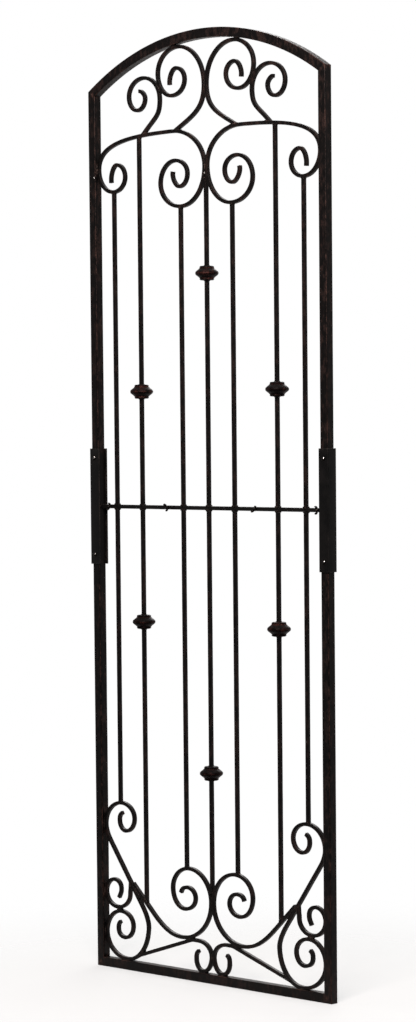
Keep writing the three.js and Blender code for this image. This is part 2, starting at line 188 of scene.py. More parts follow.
class Shader(Nodes):
    """One material, with its principled surface."""

    def __init__(self, name, roughness, metallic, specular, tint=(1.0, 1.0, 1.0)):
        self.material = bpy.data.materials.new(name)
        self.material.use_nodes = True
        super().__init__(self.material.node_tree)
        self.surface = self.nodes["Principled BSDF"]
        self.surface.inputs["Roughness"].default_value = roughness
        self.surface.inputs["Metallic"].default_value = metallic
        self.surface.inputs["Specular IOR Level"].default_value = specular
        self.surface.inputs["Specular Tint"].default_value = (*tint, 1.0)
        self.place = self.add("TexCoord").outputs["Object"]

    def noise(self, size, detail=3.0, stretch=(1, 1, 1)):
        """Noise with features of about that size in metres."""
        mapping = self.add("Mapping")
        mapping.inputs["Scale"].default_value = stretch
        self.put(self.place, mapping.inputs["Vector"])
        texture = self.add("TexNoise")
        texture.inputs["Scale"].default_value = 1 / size
        texture.inputs["Detail"].default_value = detail
        texture.inputs["Roughness"].default_value = 0.55
        self.put(mapping.outputs["Vector"], texture.inputs["Vector"])
        return texture.outputs["Fac"]

    def mix(self, factor, first, second):
        node = self.add("Mix", data_type="RGBA")
        self.put(factor, node.inputs["Factor"])
        for value, socket in ((first, node.inputs[6]), (second, node.inputs[7])):
            self.put(value if isinstance(value, bpy.types.NodeSocket) else (*value, 1.0), socket)
        return node.outputs[2]

    def attribute(self, name):
        return self.add("Attribute", attribute_name=name).outputs["Fac"]

    def finish(self, slot, color, roughness, bumps):
        """Joins everything to the surface. Bumps are (height, distance in metres), stacked in turn."""
        normal = None
        for height, distance in bumps:
            node = self.add("Bump")
            node.inputs["Strength"].default_value = 1.0
            node.inputs["Distance"].default_value = distance
            self.put(height, node.inputs["Height"])
            if normal is not None:
                self.put(normal, node.inputs["Normal"])
            normal = node.outputs["Normal"]
        self.put(normal, self.surface.inputs["Normal"])
        self.put(color, self.surface.inputs["Base Color"])
        self.put(roughness, self.surface.inputs["Roughness"])
        return self.material, slot


def antique_bronze(name, dark, brown, rust, brown_share, rub_bias, shine=0.22):
    """Near-black coat, mottled brown and rubbed through to rust along its edges and near welds. Where the
    edge attribute is below 0 it stays plain dark, as painted shade.
    """
    shader = Shader(name, 0.45, 0.15, shine, (1.0, 0.93, 0.91))
    clouds = shader.noise(30 * MM, 4.0, (1, 1, 0.5))
    blotches = shader.noise(7 * MM, 3.0, (1, 1, 0.45))
    specks = shader.noise(2.2 * MM, 2.0)
    hammer = shader.noise(13 * MM, 1.0)
    grain = shader.noise(0.7 * MM, 2.0)
    edge = shader.attribute("edge")
    weld = shader.attribute("weld")

    mottle = shader.total((clouds, 0.45), (blotches, 0.55))
    patches = shader.ramp(mottle, 0.60 - brown_share, 0.72 - brown_share)
    # Painted shade: where the edge attribute is below 0, inside the splice channels, the coat loses its brown
    # patches and stays plain dark
    patches = shader.math("MULTIPLY", patches, shader.ramp(edge, PAINTED_CHANNEL_SHADE, 0.0))
    speckled = shader.math("MULTIPLY", patches, shader.ramp(specks, 0.36, 0.60, 0.25, 1.0))
    coat = shader.mix(speckled, dark, brown)
    rub = shader.total((edge, 0.36), (weld, 0.16), (mottle, 0.75), (specks, 0.32))
    rubbed = shader.ramp(rub, 0.78 - rub_bias, 1.06 - rub_bias)
    rough = shader.total((shader.ramp(blotches, 0.3, 0.7, 0.34, 0.52), 1.0), (rubbed, 0.10))
    bumps = [(hammer, 0.35 * MM), (specks, 0.07 * MM), (grain, 0.03 * MM)]
    return shader.finish("bronze_finish", shader.mix(rubbed, coat, rust), rough, bumps)


def black_coat():
    shader = Shader("black_coat", 0.5, 0.05, 0.20)
    clouds = shader.noise(28 * MM, 4.0)
    specks = shader.noise(1.3 * MM, 2.0)
    peel = shader.noise(2.4 * MM, 1.0)
    coat = shader.mix(shader.ramp(clouds, 0.35, 0.7), (0.0042, 0.0041, 0.0041), (0.0080, 0.0070, 0.0066))
    wear = shader.total((shader.attribute("edge"), 0.45), (specks, 0.6), (clouds, 0.35))
    worn = shader.ramp(wear, 0.80, 1.02)
    color = shader.mix(worn, coat, (0.070, 0.055, 0.048))
    rough = shader.total((shader.ramp(clouds, 0.3, 0.7, 0.40, 0.54), 1.0), (worn, 0.1))
    return shader.finish("black_finish", color, rough, [(peel, 0.06 * MM), (specks, 0.05 * MM)])


def blackened_steel():
    """Dark steel whose high spots, held in the edge attribute, are worn bright. The same bright colour also
    paints highlights: the glints on the bolt domes and on the weld glint spots.
    """
    shader = Shader("blackened_steel", 0.35, 0.85, 0.5)
    specks = shader.noise(0.9 * MM, 3.0)
    clouds = shader.noise(5 * MM, 3.0)
    worn = shader.ramp(shader.total((shader.attribute("edge"), 0.8), (specks, 0.5)), 0.62, 0.92)
    coat = shader.mix(shader.ramp(clouds, 0.35, 0.65), (0.008, 0.007, 0.007), (0.020, 0.016, 0.014))
    # The bright colour marks real worn high spots, and also painted highlights: the glints on the bolt domes
    # and on the weld spots
    color = shader.mix(worn, coat, (0.93, 0.90, 0.86))
    rough = shader.total((shader.ramp(specks, 0.3, 0.7, 0.36, 0.48), 1.0), (worn, -0.18))
    return shader.finish("blackened_steel", color, rough, [(specks, 0.05 * MM)])


# Each finish is a material and its slot
BRONZE = antique_bronze(
    "antique_bronze", (0.0044, 0.0036, 0.0035), (0.0270, 0.0150, 0.0125), (0.0900, 0.0440, 0.0340), 0.12, 0.0
)
CAST_BRONZE = antique_bronze(
    "antique_bronze_cast", (0.0048, 0.0034, 0.0031), (0.0300, 0.0110, 0.0090), (0.1000, 0.0360, 0.0290),
    0.12, 0.03, 0.07
)
WELD_BRONZE = antique_bronze(
    "antique_bronze_weld", (0.0060, 0.0049, 0.0046), (0.0240, 0.0150, 0.0130), (0.1000, 0.0640, 0.0520),
    0.08, 0.0
)
BLACK = black_coat()
STEEL = blackened_steel()


# Lines and sections

def unit(vectors):
    return vectors / np.linalg.norm(vectors, axis=-1, keepdims=True)


def distance_along(path):
    """How far along a path each of its points is."""
    return np.concatenate([[0], np.cumsum(np.linalg.norm(np.diff(path, axis=0), axis=1))])


def directions(path):
    return unit(np.gradient(path, axis=0))


def upright(flat, depth=0.0):
    """Points given in X and Z, put at one depth in Y."""
    return np.stack([flat[:, 0], np.full(len(flat), depth), flat[:, 1]], axis=1)


def line_between(start, end, step=0.6 * MM):
    start, end = np.array(start, float), np.array(end, float)
    count = max(6, int(np.linalg.norm(end - start) / step))
    return start + (end - start) * np.linspace(0, 1, count)[:, None]


def rounded_section(half_a, half_b, radius, corner_steps=4):
    """Points around a rounded rectangle, and how near each is to the middle of a corner, 0 to 1."""
    signs = [(1, 1), (-1, 1), (-1, -1), (1, -1)]

    def corner_point(corner, share):
        angle = math.radians(90 * (corner + share))
        away = radius * np.array([math.cos(angle), math.sin(angle)])
        return signs[corner % 4] * np.array([half_a - radius, half_b - radius]) + away

    points = []
    edge = []
    for corner in range(4):
        for step in range(corner_steps + 1):
            points.append(corner_point(corner, step / corner_steps))
            edge.append(0.25 + 0.75 * math.sin(math.pi * step / corner_steps))
        here, there = points[-1], corner_point(corner + 1, 0)
        for share in (0.16, 0.5, 0.84):
            points.append(here + (there - here) * share)
            edge.append(0.0)
    return np.array(points), np.array(edge)


def smooth_profile(points, parts=3):
    points = np.array(points, float)
    padded = np.vstack([2 * points[0] - points[1], points, 2 * points[-1] - points[-2]])
    fine = []
    for i in range(1, len(padded) - 2):
        p0, p1, p2, p3 = padded[i - 1:i + 3]
        for share in np.arange(parts) / parts:
            fine.append(0.5 * (2 * p1 + (p2 - p0) * share + (2 * p0 - 5 * p1 + 4 * p2 - p3) * share**2
                               + (3 * p1 - p0 - 3 * p2 + p3) * share**3))
    fine.append(points[-1])
    return np.array(fine)


# Mesh building

weld_places = []


def weld_nearness(points):
    """1 at a weld, falling to 0 where its heat no longer marks the coat."""
    places = np.array(weld_places)
    nearest = np.empty(len(points))
    for chunk in range(0, len(points), 4000):
        part = points[chunk:chunk + 4000]
        nearest[chunk:chunk + 4000] = np.linalg.norm(part[:, None] - places[None], axis=2).min(axis=1)
    return np.clip(1 - nearest / WELD_MARK, 0, 1) ** 1.5


def add_piece(name, vertices, faces, finish, edge, body=LEAF, sharp_degrees=50):
    """One piece, which takes the place of the CAD node of its name, if there is one."""
    material, slot = finish
    replaced = [name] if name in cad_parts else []
    mesh = bpy.data.meshes.new(name)
    mesh.from_pydata(vertices.tolist(), [], faces)
    work = bmesh.new()
    work.from_mesh(mesh)
    bmesh.ops.recalc_face_normals(work, faces=work.faces)
    work.to_mesh(mesh)
    work.free()
    for word, values in (("edge", edge), ("weld", weld_nearness(vertices))):
        layer = mesh.attributes.new(word, "FLOAT", "POINT")
        layer.data.foreach_set("value", np.asarray(values, np.float32))
    mesh.polygons.foreach_set("use_smooth", [True] * len(mesh.polygons))
    mesh.set_sharp_from_angle(angle=math.radians(sharp_degrees))
    mesh.materials.append(material)
    piece = bpy.data.objects.new(name, mesh)
    bpy.context.scene.collection.objects.link(piece)
    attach(piece, body)
    if replaced:
        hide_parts(*replaced)


def roughen(vertices, outward, amount, size):
    """Moves points in or out a little, as a hammer and a coat leave a surface."""
    shift = np.array([noise.noise(Vector(v) / size) for v in vertices])
    return vertices + outward * (amount * shift)[:, None]


def ring_faces(rings, count, closed=False):
    """Faces between rings of points, with a cap on each end unless the last ring joins the first."""
    faces = []
    for ring in range(rings if closed else rings - 1):
        low = ring * count
        high = ((ring + 1) % rings) * count
        for k in range(count):
            after = (k + 1) % count
            faces.append((low + k, low + after, high + after, high + k))
    if not closed:
        faces.append(tuple(range(count)))
        faces.append(tuple((rings - 1) * count + k for k in range(count)))
    return faces


def end_scale(distances, chamfer):
    """Scale at each station of a bar that rounds off both its ends."""
    from_end = np.minimum(distances, distances[-1] - distances)
    inside = np.clip(from_end / chamfer, 0, 1)
    return 1 - 0.12 * (1 - np.sqrt(1 - (1 - inside) ** 2))


def with_chamfer_stations(total, step, chamfer):
    """Distances along a bar, close together where its ends are rounded."""
    count = max(2, int(round((total - 2 * chamfer) / step)))
    middle = np.linspace(chamfer, total - chamfer, count)
    near = chamfer * np.array([0, 0.15, 0.45])
    return np.concatenate([near, middle, total - near[::-1]])


def section_offsets(section, axis_a, axis_b):
    """A section's points from its centre, for the two axes that it has at each station."""
    return section[None, :, 0, None] * axis_a[:, None] + section[None, :, 1, None] * axis_b[:, None]


def add_rod(name, centres, axes, distances, halves, radius, chamfer, finish, lumps, wear, end_wear=None):
    """A rod with a rounded section, carried along a line. Lumps are their height and their size."""
    section, edge = rounded_section(*halves, radius)
    axis_a, axis_b = (np.broadcast_to(axis, centres.shape) for axis in axes)
    offsets = section_offsets(section, axis_a, axis_b)
    scale = end_scale(distances, chamfer)
    vertices = (centres[:, None] + offsets * scale[:, None, None]).reshape(-1, 3)
    vertices = roughen(vertices, unit(offsets.reshape(-1, 3)), *lumps)
    wear = wear * np.tile(edge, (len(centres), 1))
    if end_wear is not None:
        wear[:3] = end_wear
        wear[-3:] = end_wear
    add_piece(name, vertices, ring_faces(len(centres), len(section)), finish, wear.ravel())


# Scrolls, each along the centre line of its CAD node

def ribbon_centre_line(name):
    """The middle line of a flat-ended ribbon, read from the outline of its front face."""
    points = node_points(name)
    front = points[:, 1].min()
    key = [tuple(np.round(p[[0, 2]] / (GRID * MM)).astype(int)) for p in points]
    uses = {}
    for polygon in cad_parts[name].data.polygons:
        corners = list(polygon.vertices)
        if any(points[i, 1] > front + 0.1 * MM for i in corners):
            continue
        for first, second in zip(corners, corners[1:] + corners[:1]):
            uses.setdefault(frozenset((key[first], key[second])), []).append((key[first], key[second]))
    following = dict(pair[0] for pair in uses.values() if len(pair) == 1)
    start = next(iter(following))
    loop = [start]
    while following[loop[-1]] != start:
        loop.append(following[loop[-1]])
    loop = np.array(loop) * GRID * MM
    count = len(loop)
    before = loop - np.roll(loop, 1, axis=0)
    after = np.roll(loop, -1, axis=0) - loop
    turn = before[:, 0] * after[:, 1] - before[:, 1] * after[:, 0]
    turn = turn / (np.linalg.norm(before, axis=1) * np.linalg.norm(after, axis=1))
    # A flat end is an edge as long as the bar is wide, with a square corner at each end of it
    lengths = np.linalg.norm(after, axis=1)
    square = np.minimum(np.abs(turn), np.abs(np.roll(turn, -1))) > 0.9
    first, second = np.flatnonzero((np.abs(lengths - BAR) < 0.3 * MM) & square)
    near = loop[first + 1:second + 1]
    far = np.roll(loop, -second - 1, axis=0)[:first + count - second][::-1]
    return (near + far) / 2


def smooth_path(points, step):
    """A smooth line through points in X and Z, sampled at even steps. Long straight runs stay straight."""
    knots = [points[0]]
    for start, end in zip(points[:-1], points[1:]):
        parts = max(1, int(round(np.linalg.norm(end - start) / STRAIGHT_RUN)))
        knots.extend(start + (end - start) * k / parts for k in range(1, parts + 1))
    knots = np.array(knots)
    spans = np.linalg.norm(np.diff(knots, axis=0), axis=1)
    slopes = np.diff(knots, axis=0) / spans[:, None]
    weights = (spans[1:] / (spans[1:] + spans[:-1]))[:, None]
    tangents = np.vstack([slopes[:1], slopes[:-1] * weights + slopes[1:] * (1 - weights), slopes[-1:]])
    dense = []
    for i, span in enumerate(spans):
        for share in np.arange(8) / 8:
            near = 2 * share**3 - 3 * share**2 + 1
            leaving = share**3 - 2 * share**2 + share
            far = -2 * share**3 + 3 * share**2
            arriving = share**3 - share**2
            dense.append(near * knots[i] + leaving * span * tangents[i]
                         + far * knots[i + 1] + arriving * span * tangents[i + 1])
    dense = np.array([*dense, knots[-1]])
    along = distance_along(dense)
    stations = with_chamfer_stations(along[-1], step, BAR_CHAMFER)
    return np.stack([np.interp(stations, along, dense[:, axis]) for axis in (0, 1)], axis=1), stations


def reach_of(start, outward, path, distance):
    """How far a point travels outwards before it is that near to a path, or None."""
    travel = np.arange(0, FOOT_REACH, 0.2 * MM)
    places = start + outward * travel[:, None]
    near = np.linalg.norm(places[:, None] - path[None], axis=2).min(axis=1) < distance
    return travel[np.argmax(near)] if near.any() else None


def find_feet(paths):
    """Scroll ends that stand on another scroll: (name, at its start, travel, weld line's two ends)."""
    feet = []
    for name, path in paths.items():
        for at_start in (True, False):
            end, inner = (path[0], path[1]) if at_start else (path[-1], path[-2])
            outward = (end - inner) / np.linalg.norm(end - inner)
            across = np.array([-outward[1], outward[0]]) * BAR / 2
            for other_name, other in paths.items():
                if other_name == name or reach_of(end, outward, other, 1.6 * MM) is None:
                    continue
                travels = [reach_of(end + side * across, outward, other, BAR / 2) for side in (-1, 1)]
                if None in travels:
                    continue
                corners = [end + side * across + outward * t for side, t in zip((-1, 1), travels)]
                feet.append((name, at_start, max(travels) + 0.5 * MM, corners))
                break
    return feet


def with_foot(path, stations, at_start, travel):
    """A path made longer at one end, straight on, so that its end is buried in what it stands on."""
    if not at_start:
        path, stations = with_foot(path[::-1], stations[-1] - stations[::-1], True, travel)
        return path[::-1], stations[-1] - stations[::-1]
    outward = unit(path[0] - path[1])
    steps = np.array([1.0, 0.97, 0.9, 0.6, 0.3])
    longer = np.vstack([path[0] + outward * travel * steps[:, None], path[3:]])
    return longer, distance_along(longer)


def tip_first(path):
    """A base scroll's path from its square tip, which is the end farther from the gate's middle."""
    return path if abs(path[0][0]) > abs(path[-1][0]) else path[::-1]


def leaned(path, other):
    """A base scroll's path, bent a little at its tip towards the bar that the tip lies along."""
    turned = tip_first(path)
    nearest = other[np.argmin(np.linalg.norm(other - turned[0], axis=1))]
    along = distance_along(turned)
    share = 0.5 + 0.5 * np.cos(math.pi * np.clip(along / BASE_LEAN_LENGTH, 0, 1))
    bent = turned + unit(nearest - turned[0]) * (BASE_TIP_LEAN * share)[:, None]
    return bent if turned is path else bent[::-1]


def add_scroll(name, path, stations):
    ahead = directions(path)
    across = upright(np.stack([-ahead[:, 1], ahead[:, 0]], axis=1))
    add_rod(name, upright(path), (across, DEPTH), stations, (BAR_HALF, BAR_HALF), BAR_EDGE_RADIUS,
            BAR_CHAMFER, BRONZE, (0.16 * MM, 17 * MM), BAR_WEAR, SCROLL_END_WEAR)


# Bars, tubes and strips

def add_bar(name, buried):
    """A bar, made longer by so much at the end that stands on a slanting scroll."""
    low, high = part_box(name)
    if name.startswith("upper"):
        high.z += buried
    else:
        low.z -= buried
    distances = with_chamfer_stations(high.z - low.z, BAR_STEP, BAR_CHAMFER)
    centres = np.array([((low.x + high.x) / 2, 0.0, low.z + distance) for distance in distances])
    add_rod(name, centres, (ALONG, DEPTH), distances, (BAR_HALF, BAR_HALF), BAR_EDGE_RADIUS, BAR_CHAMFER,
            BRONZE, (0.12 * MM, 30 * MM), BAR_WEAR)


def add_strip(name):
    low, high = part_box(name)
    middle = (low + high) / 2
    distances = with_chamfer_stations(high.x - low.x, TUBE_STEP, STRIP_CHAMFER)
    centres = np.array([(low.x + distance, middle.y, middle.z) for distance in distances])
    add_rod(name, centres, (DEPTH, UP), distances, ((high.y - low.y) / 2, (high.z - low.z) / 2),
            STRIP_EDGE_RADIUS, STRIP_CHAMFER, BLACK, (0.05 * MM, 40 * MM), 1.0)


def tube_section(across_first=True):
    halves = [TUBE_MIDDLE, (TUBE + TUBE_DEPTH_GROWTH) / 2]
    return rounded_section(*(halves if across_first else halves[::-1]), TUBE_EDGE_RADIUS, 5)


def add_tube(name, places, outward, edge, lumps):
    """A tube from the X, Y and Z of its points and of their outward directions, with a row for each ring."""
    shape = np.broadcast_shapes(*(np.shape(values) for values in places))
    vertices, outward = (
        np.stack([np.broadcast_to(values, shape) for values in axes], axis=2).reshape(-1, 3)
        for axes in (places, outward)
    )
    vertices = roughen(vertices, unit(outward), *lumps)
    wear = np.tile(edge, (shape[0], 1))
    wear[[0, -1]] = np.maximum(wear[[0, -1]], CUT_END_WEAR)
    # Painted shade: the stretch of tube within the splice channels' height gets a wear below 0, so its coat
    # is drawn plain dark
    low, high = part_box("left_splice_channel")
    in_channel_shade = (vertices[:, 2] > low.z) & (vertices[:, 2] < high.z)
    wear = np.where(in_channel_shade, PAINTED_CHANNEL_SHADE, wear.ravel())
    add_piece(name, vertices, ring_faces(*shape), BRONZE, wear)


def add_stile(name, side):
    """A stile's section is carried straight up between its two ends, either of which may be slanted."""
    points = node_points(name)
    section, edge = tube_section()
    out = side * section[:, 0] + TUBE_MIDDLE - TUBE_GROWTH
    ends = []
    for highest in (False, True):
        outer = end_height(points, HALF_WIDTH, highest)
        inner = end_height(points, STILE_INNER, highest)
        ends.append(outer + (inner - outer) * (1 - out / TUBE))
    rings = int((ends[1].max() - ends[0].min()) / TUBE_STEP)
    heights = ends[0] + (ends[1] - ends[0]) * np.linspace(0, 1, rings)[:, None]
    x = side * (HALF_WIDTH - TUBE_MIDDLE) + section[:, 0]
    outward = (section[:, 0], section[:, 1], 0.0)
    add_tube(name, (x, section[:, 1], heights), outward, edge, (0.10 * MM, 60 * MM))


def add_arch():
    section, edge = tube_section()
    radius = ARCH_RADIUS - TUBE_MIDDLE + section[:, 0]
    out = STILE_INNER + (radius - (ARCH_RADIUS - TUBE))
    angle = np.arcsin(out / radius) * np.linspace(-1, 1, ARCH_RINGS)[:, None]
    places = (radius * np.sin(angle), section[:, 1], ARCH_CENTRE + radius * np.cos(angle))
    outward = (section[:, 0] * np.sin(angle), section[:, 1], section[:, 0] * np.cos(angle))
    add_tube("arch_rail", places, outward, edge, (0.12 * MM, 40 * MM))


def add_bottom_rail():
    section, edge = tube_section(across_first=False)
    height = TUBE_MIDDLE + section[:, 1]
    x = (HALF_WIDTH - height) * np.linspace(-1, 1, BOTTOM_RAIL_RINGS)[:, None]
    outward = (0.0, section[:, 0], section[:, 1])
    add_tube("bottom_rail", (x, section[:, 0], height), outward, edge, (0.10 * MM, 60 * MM))


def arc_points(centre_x, centre_y, radius, first, last, steps):
    angles = np.radians(np.linspace(first, last, steps))
    return [(centre_x + radius * math.cos(a), centre_y + radius * math.sin(a)) for a in angles]


def add_channel(name, side, lip_shift):
    """A folded channel: round outer bends, and a small chamfer round each cut end."""
    low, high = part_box(name)
    outer = max(abs(low.x), abs(high.x))
    wall = outer - np.unique(np.round(np.abs(node_points(name)[:, 0]), 5))[-2]
    outer += CHANNEL_STAND_OFF
    lip = min(abs(low.x), abs(high.x)) + lip_shift
    depth = high.y + CHANNEL_SPREAD
    bend = 1.1 * wall
    rub = 0.7 * MM
    outline = [(lip, depth), (lip + rub, depth)]
    outline += arc_points(outer - bend, depth - bend, bend, 90, 0, 7)
    outline += arc_points(outer - bend, bend - depth, bend, 0, -90, 7)
    outline += [(lip + rub, -depth), (lip, -depth), (lip, wall - depth)]
    outline += arc_points(outer - bend, bend - depth, bend - wall, -90, 0, 4)
    outline += arc_points(outer - bend, depth - bend, bend - wall, 0, 90, 4)
    outline += [(lip, depth - wall)]
    outline = np.array(outline)
    count = len(outline)
    edge = np.zeros(count)
    # The lips, then the middles of the two outer bends
    edge[[0, 17, 18, count - 1]] = 0.8
    edge[[4, 5, 6, 11, 12, 13]] = 0.6
    before = outline - np.roll(outline, 1, axis=0)
    after = np.roll(outline, -1, axis=0) - outline
    normal = unit(np.stack([before[:, 1] + after[:, 1], -before[:, 0] - after[:, 0]], axis=1))
    if np.cross(before, after).sum() < 0:
        normal = -normal
    heights = np.linspace(low.z + 12 * MM, high.z - 12 * MM, 12)
    heights = [low.z, low.z + CHANNEL_CHAMFER, *heights, high.z - CHANNEL_CHAMFER, high.z]
    wear = np.tile(edge, (len(heights), 1))
    wear[[0, 1, -2, -1]] = 0.8
    rings = [outline - normal * (CHANNEL_CHAMFER if height in (low.z, high.z) else 0) for height in heights]
    vertices = np.array([(side * x, y, height) for ring, height in zip(rings, heights) for x, y in ring])
    add_piece(name, vertices, ring_faces(len(heights), count), BLACK, wear.ravel(), sharp_degrees=35)


# Turned and cast pieces

FLUTES = 16
COLLAR_SIDES = 96
COLLAR_BORE = 5.15 * MM
# Radius and height of a collar's outline, in millimetres, from its top to its rim
COLLAR_SHOULDER = [
    (5.9, 17.0), (6.5, 16.6), (7.0, 15.7), (9.6, 15.3), (12.6, 15.2), (14.4, 14.5), (15.3, 13.2),
    (15.4, 11.9), (15.0, 10.9), (15.4, 10.2), (16.6, 9.5), (17.2, 8.8), (17.8, 8.1), (19.3, 7.1),
    (21.4, 5.5), (23.3, 3.7), (24.5, 1.9), (24.9, 0.0),
]
FASTENER_SIDES = 48
HEX_NUT_SIDES = 72
# A lathe's first and last points stand this near to its axis
ON_AXIS = 0.0001 * MM
WING_BOSS_SIDES = 36
# Radius, height and wear round a wing nut's boss, then the middle line of one wing, in millimetres
WING_BOSS = [
    (2.15, 0.15, 0), (2.5, 0, 0.1), (4.3, 0, 0.1), (4.6, 0.3, 0.3), (4.55, 1.2, 0.1), (4.3, 3.0, 0),
    (4.0, 4.1, 0.1), (3.6, 4.5, 0.3), (2.5, 4.5, 0.2), (2.15, 4.3, 0),
]
WING_SPINE = [(2.6, 2.3), (4.6, 2.6), (6.6, 3.6), (8.0, 5.2), (8.3, 7.0)]
WING_THICKNESS = 1.9 * MM
# How far past its line a wing's rounded tip goes, and the share of width and thickness left there
WING_TIP = [(0.5, 0.85, 0.95), (0.85, 0.55, 0.75), (1.0, 0.15, 0.3)]


def lathe(profile, sides, flutes=None):
    """Vertices of a (radius, height) profile turned about Z, fluted by that share of each radius."""
    angles = np.arange(sides) * 2 * math.pi / sides
    flutes = np.zeros(len(profile)) if flutes is None else flutes
    radius = profile[:, :1] * (1 + flutes[:, None] * np.cos(FLUTES * angles))
    height = np.broadcast_to(profile[:, 1:], radius.shape)
    return np.stack([radius * np.cos(angles), radius * np.sin(angles), height], axis=2).reshape(-1, 3)


def add_collar(name):
    """A cast collar with ribs and faint flutes, and a plain bore."""
    low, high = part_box(name)
    centre = (low + high) / 2
    upper = smooth_profile(np.array(COLLAR_SHOULDER) * MM)
    lower = upper[-2::-1] * [1, -1]
    mouth = high.z - centre.z - 0.3 * MM
    profile = np.vstack([upper, lower, [(COLLAR_BORE, -mouth), (COLLAR_BORE, mouth)]])
    from_middle = np.abs(profile[:, 1])
    shoulder = np.exp(-((from_middle - 10.5 * MM) / (2.2 * MM)) ** 2)
    rim = np.exp(-((from_middle - 3.2 * MM) / (1.6 * MM)) ** 2)
    outside = np.ones(len(profile))
    outside[-2:] = 0
    vertices = lathe(profile, COLLAR_SIDES, (0.022 * shoulder + 0.010 * rim) * outside)
    shift = Vector((centre.x, 0, centre.z)) * 50
    bumps = np.array([noise.noise(Vector(v) * 240 + shift) for v in vertices])
    bumps = 0.22 * MM * bumps * np.repeat(outside, COLLAR_SIDES)
    vertices = vertices + unit(vertices * [1, 1, 0]) * bumps[:, None] + np.array(centre)
    high_spots = np.clip(shoulder * 0.9 + np.exp(-(profile[:, 1] / (0.9 * MM)) ** 2), 0, 1) * outside
    faces = ring_faces(len(profile), COLLAR_SIDES, closed=True)
    add_piece(name, vertices, faces, CAST_BRONZE, np.repeat(high_spots, COLLAR_SIDES), sharp_degrees=60)


def turned_along_y(vertices, centre_x, centre_z):
    """Turns a lathe's Z axis to Y, and puts it at a place in X and Z."""
    return np.stack([vertices[:, 0] + centre_x, vertices[:, 2], vertices[:, 1] + centre_z], axis=1)


def thread(radius, start, end, pitch):
    """Profile points of a thread between two heights."""
    count = max(1, int(abs(end - start) / pitch))
    step = (end - start) / count
    depth = 0.28 * pitch
    points = []
    for k in range(count):
        points.append((radius - 2 * depth, start + step * k))
        points.append((radius, start + step * (k + 0.5)))
    points.append((radius - 2 * depth, end))
    return points


def add_fastener(name, head_front, shank_radius, pitch):
    """A dome head, a plain shank and a thread on the stretch that shows."""
    points = node_points(name)
    low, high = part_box(name)
    centre = (low + high) / 2
    head_radius = (high.x - low.x) / 2
    out = np.hypot(points[:, 0] - centre.x, points[:, 2] - centre.z)
    rim = points[out > head_radius - 0.05 * MM][:, 1]
    if head_front:
        top, underside, tip, sign = low.y, rim.max(), high.y, 1
    else:
        top, underside, tip, sign = high.y, rim.min(), low.y, -1
    height = abs(top - underside)
    dome = [
        (head_radius * math.sin(angle), underside - sign * height * math.cos(angle) ** 0.9)
        for angle in np.radians([10, 20, 30, 40, 50, 60, 71, 82])
    ]
    profile = np.array([
        (ON_AXIS, top + sign * 0.02 * MM),
        *dome,
        (head_radius, underside - sign * 0.25 * MM),
        (head_radius - 0.15 * MM, underside),
        (shank_radius, underside),
        *thread(shank_radius, tip - sign * 7 * MM, tip - sign * 0.4 * MM, pitch),
        (shank_radius - 0.7 * MM, tip),
        (ON_AXIS, tip),
    ])
    vertices = lathe(profile, FASTENER_SIDES)
    wear = np.zeros(len(vertices))
    wear[-4 * FASTENER_SIDES:] = 0.3
    # A dome gets a painted highlight: one small bright spot, up and to the side of its middle, placed where
    # the key lamp's reflection falls
    head = vertices[:len(dome) * FASTENER_SIDES, :2] / head_radius
    off = np.linalg.norm((head - [0.55, 0.25]) / [0.28, 0.50], axis=1)
    wear[:len(head)] = np.clip(1.5 * np.exp(-off ** 2), 0, 1)
    placed = turned_along_y(vertices, centre.x, centre.z)
    add_piece(name, placed, ring_faces(len(profile), FASTENER_SIDES), STEEL, wear)


def add_hex_nut(name):
    """A hexagon whose corners are cut back by a cone at 30 degrees, front and back."""
    low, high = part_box(name)
    centre = (low + high) / 2
    half_x, half_z = (high.x - low.x) / 2, (high.z - low.z) / 2
    flat = min(half_x, half_z)
    thick = high.y - low.y
    angles = np.arange(HEX_NUT_SIDES) * 2 * math.pi / HEX_NUT_SIDES
    from_corner = (np.degrees(angles) - (90 if half_z > half_x else 0)) % 60
    hexagon = flat / np.cos(np.radians(from_corner - 30))
    round_face = flat * 0.96
    drop = np.clip(hexagon - round_face, 0, None) * math.tan(math.radians(30))
    bore = 0.62 * flat
    rings = [
        (bore, 0.2 * MM, 0),
        (bore + 0.3 * MM, 0, 0.3),
        (round_face, 0, 0.4),
        (hexagon, drop, 0.8),
        (hexagon, thick - drop, 0.8),
        (round_face, thick, 0.4),
        (bore + 0.3 * MM, thick, 0.3),
        (bore, thick - 0.2 * MM, 0),
    ]
    vertices = np.concatenate([
        np.stack([radius * np.cos(angles), radius * np.sin(angles), height + 0 * angles], axis=1)
        for radius, height, _ in rings
    ])
    vertices[:, 2] += low.y
    wear = np.repeat([wear for _, _, wear in rings], HEX_NUT_SIDES)
    faces = ring_faces(len(rings), HEX_NUT_SIDES, closed=True)
    add_piece(name, turned_along_y(vertices, centre.x, centre.z), faces, STEEL, wear, sharp_degrees=25)


